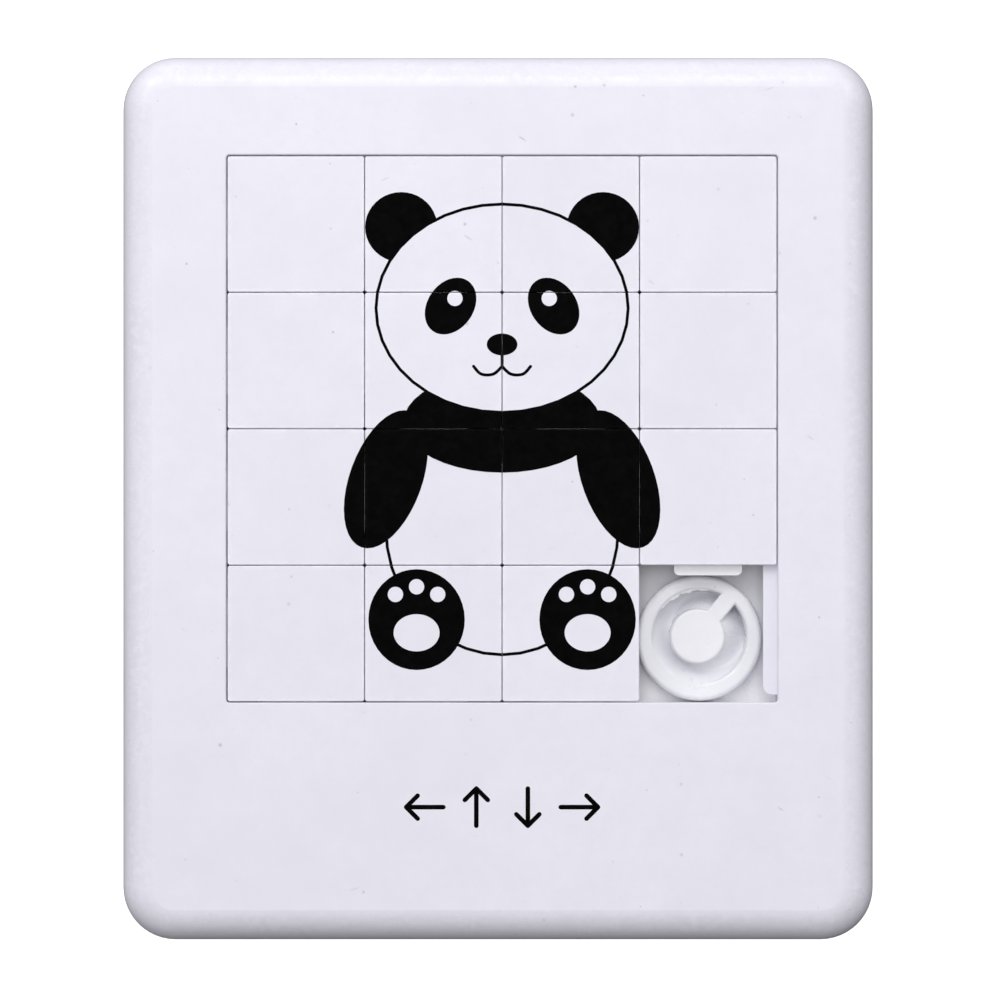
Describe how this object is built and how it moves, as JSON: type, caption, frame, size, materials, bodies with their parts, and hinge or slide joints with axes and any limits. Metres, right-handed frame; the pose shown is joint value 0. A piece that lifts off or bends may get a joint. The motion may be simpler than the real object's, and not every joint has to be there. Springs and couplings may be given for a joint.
{
  "type": "sliding tile puzzle",
  "caption": "Flat handheld sliding puzzle: square tiles interlocked by tongues and grooves in a rounded white case, with one open cell that a neighbouring row or column slides into.",
  "frame": {"origin": "on the flat back face, under the middle of the case's outline", "axes": "+Z out of the face the tiles show on, +Y towards the top of the picture (away from the wide border), +X to the right; the puzzle lies on its back"},
  "size_m": [0.0686, 0.0808, 0.008],
  "materials": {
    "case_plastic": "smooth moulded white plastic, satin gloss",
    "cover_plastic": "fine textured moulded white plastic",
    "ring_plastic": "smooth moulded white plastic, satin gloss",
    "tile_plastic": "smooth moulded white plastic, satin gloss",
    "black_ink": "thin cured black print on the plastic"
  },
  "bodies": {
    "case": {"case_front": "case_plastic", "case_back": "cover_plastic", "gap_ring": "ring_plastic"},
    "tile_01": {"tile_01": "tile_plastic"},
    "tile_02": {"tile_02": "tile_plastic"},
    "tile_03": {"tile_03": "tile_plastic"},
    "tile_04": {"tile_04": "tile_plastic"},
    "tile_05": {"tile_05": "tile_plastic"},
    "tile_06": {"tile_06": "tile_plastic"},
    "tile_07": {"tile_07": "tile_plastic"},
    "tile_08": {"tile_08": "tile_plastic"},
    "tile_09": {"tile_09": "tile_plastic"},
    "tile_10": {"tile_10": "tile_plastic"},
    "tile_11": {"tile_11": "tile_plastic"},
    "tile_12": {"tile_12": "tile_plastic"},
    "tile_13": {"tile_13": "tile_plastic"},
    "tile_14": {"tile_14": "tile_plastic"},
    "tile_15": {"tile_15": "tile_plastic"}
  },
  "joints": [
    {"name": "tile_01_slide", "type": "slide", "parent": "case", "child": "tile_01", "axis": [1, 0, 0], "range_m": [-0.00005, 0.00005]},
    {"name": "tile_02_slide", "type": "slide", "parent": "case", "child": "tile_02", "axis": [1, 0, 0], "range_m": [-0.00005, 0.00005]},
    {"name": "tile_03_slide", "type": "slide", "parent": "case", "child": "tile_03", "axis": [1, 0, 0], "range_m": [-0.00005, 0.00005]},
    {"name": "tile_04_slide", "type": "slide", "parent": "case", "child": "tile_04", "axis": [0, 1, 0], "range_m": [-0.01245, 0]},
    {"name": "tile_05_slide", "type": "slide", "parent": "case", "child": "tile_05", "axis": [1, 0, 0], "range_m": [-0.00005, 0.00005]},
    {"name": "tile_06_slide", "type": "slide", "parent": "case", "child": "tile_06", "axis": [1, 0, 0], "range_m": [-0.00005, 0.00005]},
    {"name": "tile_07_slide", "type": "slide", "parent": "case", "child": "tile_07", "axis": [1, 0, 0], "range_m": [-0.00005, 0.00005]},
    {"name": "tile_08_slide", "type": "slide", "parent": "case", "child": "tile_08", "axis": [0, 1, 0], "range_m": [-0.01245, 0]},
    {"name": "tile_09_slide", "type": "slide", "parent": "case", "child": "tile_09", "axis": [1, 0, 0], "range_m": [-0.00005, 0.00005]},
    {"name": "tile_10_slide", "type": "slide", "parent": "case", "child": "tile_10", "axis": [1, 0, 0], "range_m": [-0.00005, 0.00005]},
    {"name": "tile_11_slide", "type": "slide", "parent": "case", "child": "tile_11", "axis": [1, 0, 0], "range_m": [-0.00005, 0.00005]},
    {"name": "tile_12_slide", "type": "slide", "parent": "case", "child": "tile_12", "axis": [0, 1, 0], "range_m": [-0.01245, 0]},
    {"name": "tile_13_slide", "type": "slide", "parent": "case", "child": "tile_13", "axis": [1, 0, 0], "range_m": [0, 0.01254]},
    {"name": "tile_14_slide", "type": "slide", "parent": "case", "child": "tile_14", "axis": [1, 0, 0], "range_m": [0, 0.01254]},
    {"name": "tile_15_slide", "type": "slide", "parent": "case", "child": "tile_15", "axis": [1, 0, 0], "range_m": [0, 0.01254]}
  ],
  "couplings": [
    {"joint": "tile_13_slide", "follows": "tile_15_slide", "ratio": 1},
    {"joint": "tile_14_slide", "follows": "tile_15_slide", "ratio": 1},
    {"joint": "tile_04_slide", "follows": "tile_12_slide", "ratio": 1},
    {"joint": "tile_08_slide", "follows": "tile_12_slide", "ratio": 1}
  ]
}
